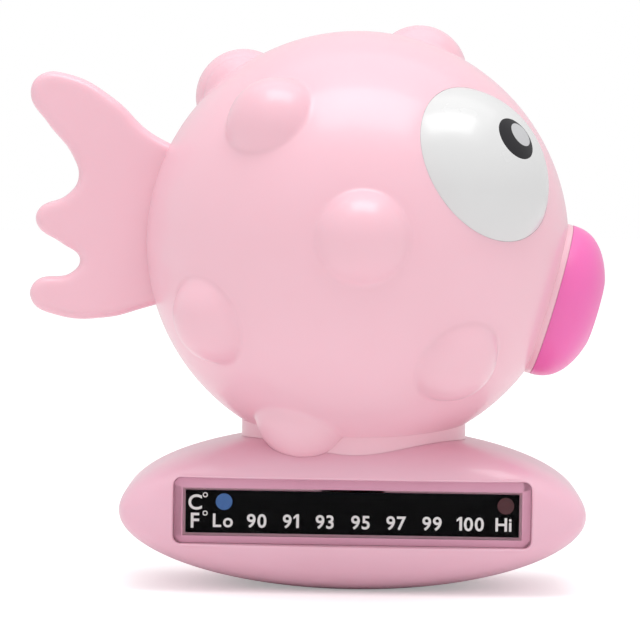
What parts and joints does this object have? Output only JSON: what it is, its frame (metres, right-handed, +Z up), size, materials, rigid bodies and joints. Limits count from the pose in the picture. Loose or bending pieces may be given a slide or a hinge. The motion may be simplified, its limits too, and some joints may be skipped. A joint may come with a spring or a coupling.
{
  "type": "floating bath thermometer",
  "caption": "Ball-shaped puffer-fish bath thermometer: hollow float with bumps, eyes, lips and tail fin on a weighted boat-shaped pod with a liquid-crystal strip.",
  "frame": {"origin": "middle of the pod's flat foot, the face that the object stands on", "axes": "+Z up; +X towards the fish's mouth, along the pod; the temperature strip faces -Y"},
  "size_m": [0.1203, 0.0949, 0.1172],
  "materials": {
    "pink_plastic": "glossy moulded ABS, pale pink",
    "pod_plastic": "glossy moulded ABS, pink",
    "eye_white": "glossy white ABS",
    "pupil_dark": "near-black inlay",
    "light_grey_print": "light grey print and inlay",
    "steel": "spring steel",
    "mouth_magenta": "magenta ABS, soft gloss",
    "seal_rubber": "soft silicone",
    "window_clear": "clear styrene window",
    "gasket_pink": "pink double-sided tape",
    "strip_black": "printed polyester film",
    "crystal": "thermochromic crystal coat",
    "backing_black": "black absorbing layer",
    "adhesive": "pressure-sensitive adhesive",
    "dot_blue": "printed blue dot",
    "dot_red": "printed dark red dot",
    "ballast_steel": "zinc-plated steel"
  },
  "bodies": {
    "root": {"right_body_shell": "pink_plastic", "left_body_shell": "pink_plastic", "pod_front_shell": "pod_plastic", "pod_back_shell": "pod_plastic", "right_eye": "eye_white", "left_eye": "eye_white", "right_pupil": "pupil_dark", "left_pupil": "pupil_dark", "right_glint": "light_grey_print", "left_glint": "light_grey_print", "right_eye_washer": "steel", "left_eye_washer": "steel", "mouth_washer": "steel", "ballast_washers": "steel", "mouth": "mouth_magenta", "neck_seal": "seal_rubber", "strip_window": "window_clear", "window_gasket": "gasket_pink", "strip_film": "strip_black", "crystal_cells": "crystal", "strip_backing": "backing_black", "strip_adhesive": "adhesive", "cold_dot": "dot_blue", "hot_dot": "dot_red", "ballast_weight": "ballast_steel"}
  },
  "joints": []
}
